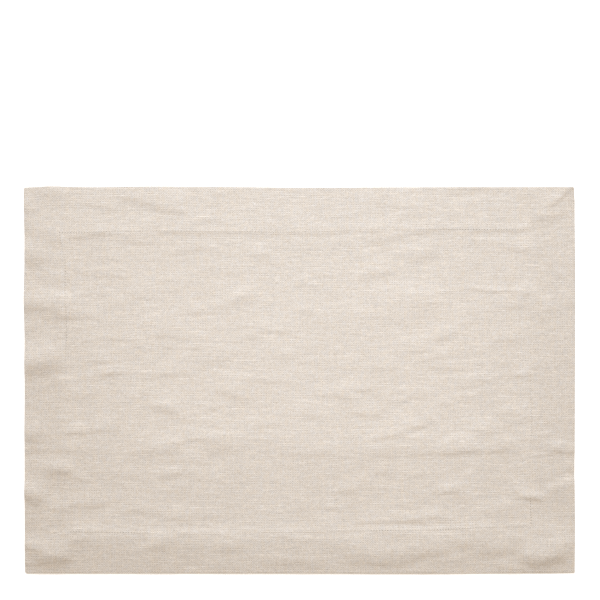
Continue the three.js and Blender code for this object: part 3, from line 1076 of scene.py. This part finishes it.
groove = add_node(
    tree, "MapRange",
    {"Value": seam_off, "From Min": 0.0, "From Max": GROOVE_WIDTH, "To Min": -GROOVE_DEPTH,
     "To Max": 0.0}, interpolation_type="SMOOTHSTEP")
hole_shade_colour = tuple(HOLE_SHADE_TONE * part for part in LINEN_DARK[:3]) + (1,)
# Painted shade: each needle hole is painted as a dark dot.
with_hole_shade = add_node(tree, "Mix", {0: hole_shade_mask, 6: coloured, 7: hole_shade_colour}, data_type="RGBA")
tree.links.new(with_hole_shade.outputs[2], shader.inputs["Base Color"])

# %% Add the finest crinkle
FINE_CRINKLE = Vector((24 * MM, 4.5 * MM, 1))  # length and width of one wave
FINE_CRINKLE_DEPTH = 0.15 * MM
FINE_BEND = 45 * MM  # it is bent as the yarns are, but further
off_middle = add_node(tree, "Math", {0: cut_x, 1: BOW_MIDDLE}, operation="SUBTRACT")
off_square = add_node(tree, "Math", {0: off_middle, 1: off_middle}, operation="MULTIPLY")
bowed = add_node(
    tree, "Math", {0: off_square, 1: -BOW / 2, 2: cut_y}, operation="MULTIPLY_ADD")
bowed_place = add_node(tree, "CombineXYZ", {0: cut_x, 1: bowed})
bent_place = add_node(
    tree, "VectorMath", {0: centre, 1: (FINE_BEND,) * 3, 2: bowed_place}, operation="MULTIPLY_ADD")
waves = add_node(tree, "VectorMath", {0: bent_place, 1: FINE_CRINKLE}, operation="DIVIDE")
fine_crinkle = add_node(
    tree, "TexNoise", {"Vector": waves, "Scale": 1.0, "Detail": 2.0, "Roughness": 0.55})

# %% Raise the yarns, slubs, crinkle and groove
YARN_DEPTH = 0.045 * MM
SLUB_DEPTH = 0.12 * MM
weave_height = add_node(
    tree, "Math", {0: crown, 1: YARN_DEPTH, 2: groove}, operation="MULTIPLY_ADD")
slub_height = add_node(
    tree, "Math", {0: weft_tone, 1: SLUB_DEPTH, 2: weave_height}, operation="MULTIPLY_ADD")
crinkled = add_node(
    tree, "Math", {0: fine_crinkle, 1: FINE_CRINKLE_DEPTH, 2: slub_height},
    operation="MULTIPLY_ADD")
raised = add_node(tree, "Bump", {"Height": crinkled, "Distance": 1.0, "Strength": 1.0})
tree.links.new(raised.outputs["Normal"], shader.inputs["Normal"])
placemat.data.materials.append(linen)
print("linen nodes:", len(tree.nodes))

# %% [markdown]
# ## Thread
# The hem is sewn with a matching linen thread, a shade lighter and smoother than the cloth
# because it is waxed and tightly twisted. Its plies are too fine to see from here, so a
# small noise stands for them.

# %% Make the thread
# Wax lays its fibres flat, so it gleams a little more than the cloth.
THREAD_LIGHT = from_hex("#efe6da")
THREAD_DARK = from_hex("#dfd5c8")
PLY = 0.5 * MM
PLY_DEPTH = 0.04 * MM
thread, tree, shader = new_material(
    "linen_thread_waxed", Roughness=0.6, Sheen_Weight=0.1, Specular_IOR_Level=0.4)
place = add_node(tree, "TexCoord").outputs["Object"]
plies = add_node(tree, "TexNoise", {"Vector": place, "Scale": 1 / PLY, "Detail": 1.0})
dyed = add_node(tree, "Mix", {0: plies, 6: THREAD_DARK, 7: THREAD_LIGHT}, data_type="RGBA")
tree.links.new(dyed.outputs[2], shader.inputs["Base Color"])
ply_height = add_node(tree, "Math", {0: plies, 1: PLY_DEPTH}, operation="MULTIPLY")
raised = add_node(tree, "Bump", {"Height": ply_height, "Distance": 1.0})
tree.links.new(raised.outputs["Normal"], shader.inputs["Normal"])
hem_stitches.data.materials.append(thread)

# %% [markdown]
# ## Table and light
# A plain white table carries the mat. A broad lamp behind and a little to the left of it
# slants down at under 40 degrees, so that creases show as light and shade, and an even pale
# sky fills the shadows. The picture is shown with the plain sRGB curve, which leaves
# pale cloth as pale as it is. The denoiser stays off, because it takes a weave as fine as
# this one for noise and smears it into streaks.

# %% Lay the table
TABLE_REACH = 12.0  # so far that its edge stays out of a low view
floor_shape = bmesh.new()
bmesh.ops.create_grid(floor_shape, x_segments=1, y_segments=1, size=TABLE_REACH)
table = add_piece("table", floor_shape)
FLOOR_GLOW = 0.35  # a little light of its own keeps the shadows on the table faint
# Matt paint scatters all its light, so the table shows no gleam beside the cloth.
paint, tree, shader = new_material("matt_white_paint", Roughness=0.9)
shader.inputs["Base Color"].default_value = from_hex("#f4f3f1")
shader.inputs["Emission Color"].default_value = (1, 1, 1, 1)
shader.inputs["Emission Strength"].default_value = FLOOR_GLOW
table.data.materials.append(paint)

# %% Set the lights
KEY_DISTANCE = 2.25
KEY_HEIGHT = math.radians(38)  # above the table
KEY_TURN = math.radians(7)  # left of straight behind
KEY_AIM = Vector((60 * MM, -10 * MM, 0))
KEY_SIZE = 0.4
KEY_SPREAD = math.radians(57)
KEY_WATTS = 5.49
KEY_COLOUR = from_hex("#e1efff")  # cool daylight
SKY_STRENGTH = 0.536
SKY_COLOUR = from_hex("#ffecd3")  # warm light back from the room, which browns the shadows
key_direction = Vector((-math.sin(KEY_TURN) * math.cos(KEY_HEIGHT),
                        math.cos(KEY_TURN) * math.cos(KEY_HEIGHT), math.sin(KEY_HEIGHT)))
key_data = bpy.data.lights.new("window", "AREA")
key_data.shape = "SQUARE"
key_data.size = KEY_SIZE
key_data.spread = KEY_SPREAD
key_data.energy = KEY_WATTS
key_data.color = KEY_COLOUR[:3]
key = bpy.data.objects.new("window", key_data)
key.location = KEY_AIM + KEY_DISTANCE * key_direction
key.rotation_euler = (-key_direction).to_track_quat("-Z", "Y").to_euler()
bpy.context.collection.objects.link(key)
print("lamp, mm:", [round(step / MM) for step in key.location])

world = bpy.data.worlds.new("pale_sky")
world.use_nodes = True
world.node_tree.nodes["Background"].inputs["Color"].default_value = SKY_COLOUR
world.node_tree.nodes["Background"].inputs["Strength"].default_value = SKY_STRENGTH
bpy.context.scene.world = world
bpy.context.scene.view_settings.view_transform = "Standard"
bpy.context.scene.cycles.use_denoising = False

# %% [markdown]
# ## One body
# The cloth stands for the solid, the stitches lie on it, and both are one body with it. The
# cut is the finished mat with its hem and turned-in edge opened out, less the corners that a
# mitre folds away.

# %% Join each piece to the body and hide the solid
for piece in (placemat, hem_stitches):
    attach(piece, BODY)
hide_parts(CLOTH_NODE)
